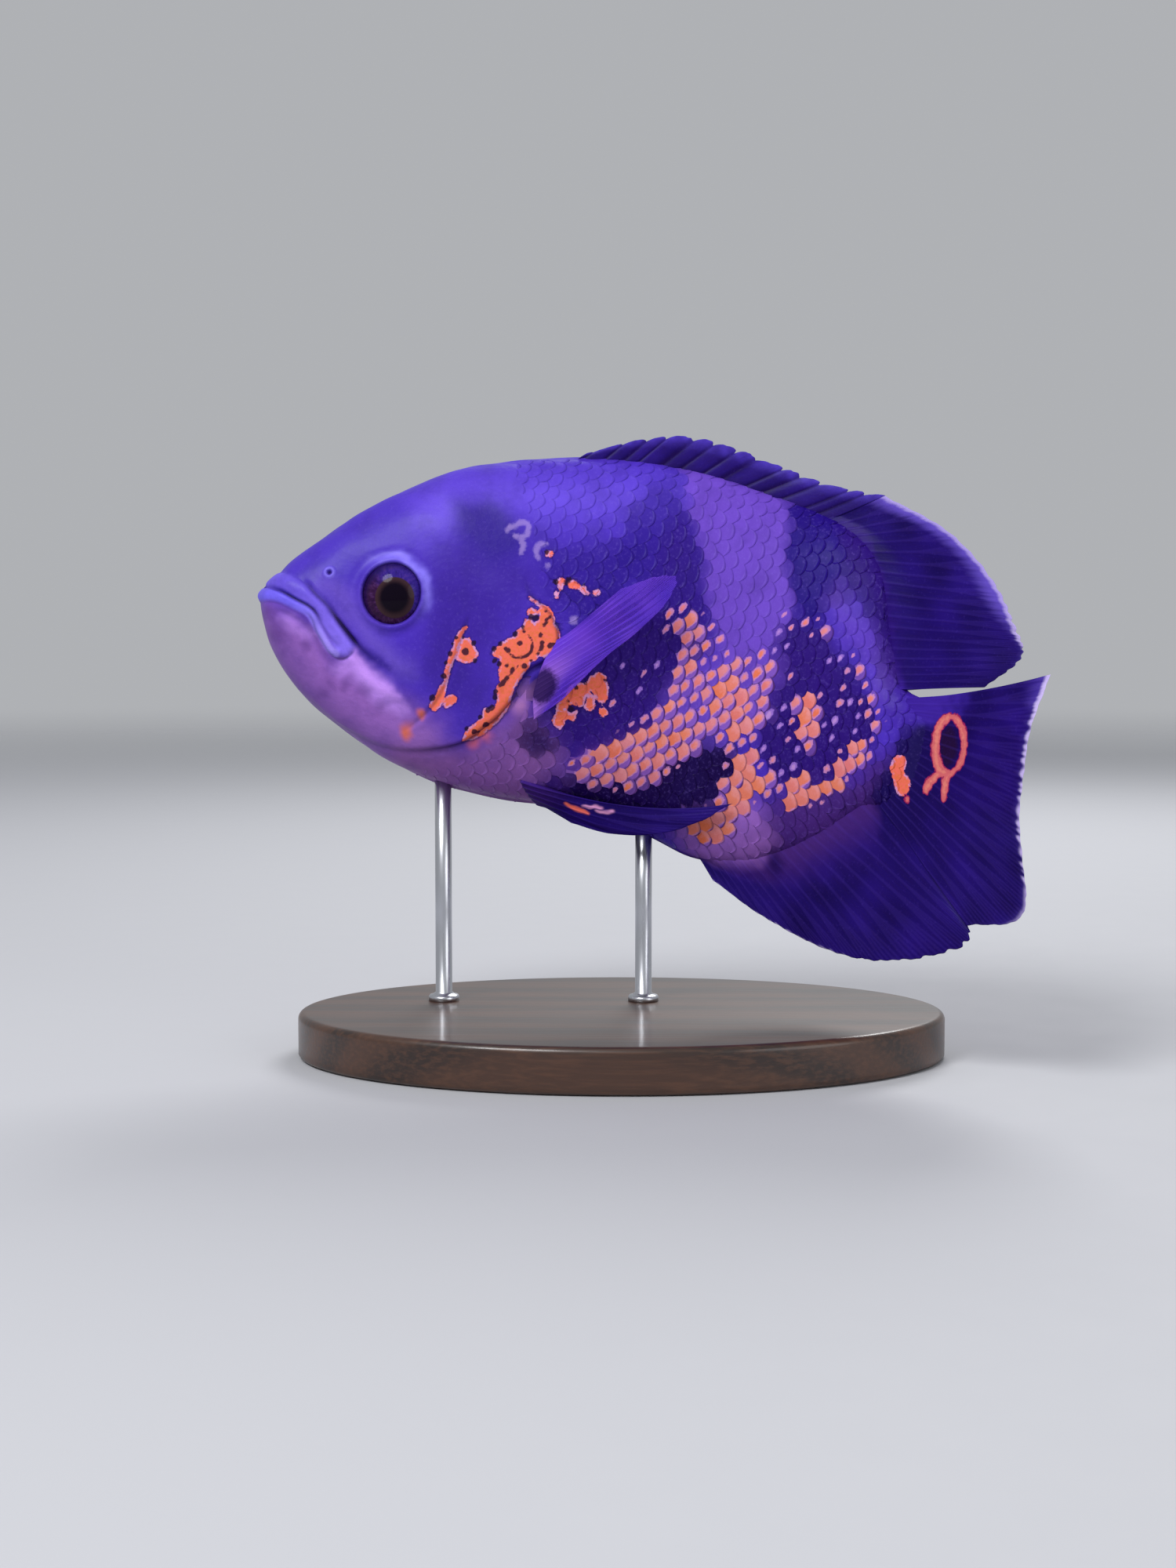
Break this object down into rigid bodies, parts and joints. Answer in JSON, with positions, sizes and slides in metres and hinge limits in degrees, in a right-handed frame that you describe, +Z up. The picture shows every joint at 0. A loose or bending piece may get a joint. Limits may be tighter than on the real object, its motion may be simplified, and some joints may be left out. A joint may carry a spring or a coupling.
{
  "type": "oscar fish model",
  "caption": "Life-size still model of an oscar fish turning as it swims, fins spread, held over an oval wooden base by slim steel rods.",
  "frame": {"origin": "centre of the stand base's underside", "axes": "-X the way the fish faces, +Z up, -Y the fish's left side, which the tail swings towards"},
  "size_m": [0.22, 0.1229, 0.182],
  "materials": {
    "skin": "satin scaled skin",
    "chin_skin": "satin skin",
    "lip_skin": "satin skin",
    "fin": "satin membrane with raised rays",
    "clear_fin": "thin satin membrane",
    "eye": "gloss",
    "stand_wood": "satin dark walnut",
    "stand_steel": "brushed"
  },
  "bodies": {
    "root": {"head": "skin", "lower_jaw": "chin_skin", "upper_lip": "lip_skin", "lower_lip": "lip_skin", "gill_cover_left": "skin", "gill_cover_right": "skin", "eye_left": "eye", "eye_right": "eye", "torso": "skin", "tail_stalk": "skin", "dorsal_fin_spines": "fin", "dorsal_fin_rays": "fin", "anal_fin": "fin", "tail_fin": "fin", "pectoral_fin_left": "clear_fin", "pelvic_fin_left": "fin", "pectoral_fin_right": "clear_fin", "pelvic_fin_right": "fin", "stand_base": "stand_wood", "stand_rod_front": "stand_steel", "stand_rod_rear": "stand_steel"}
  },
  "joints": []
}
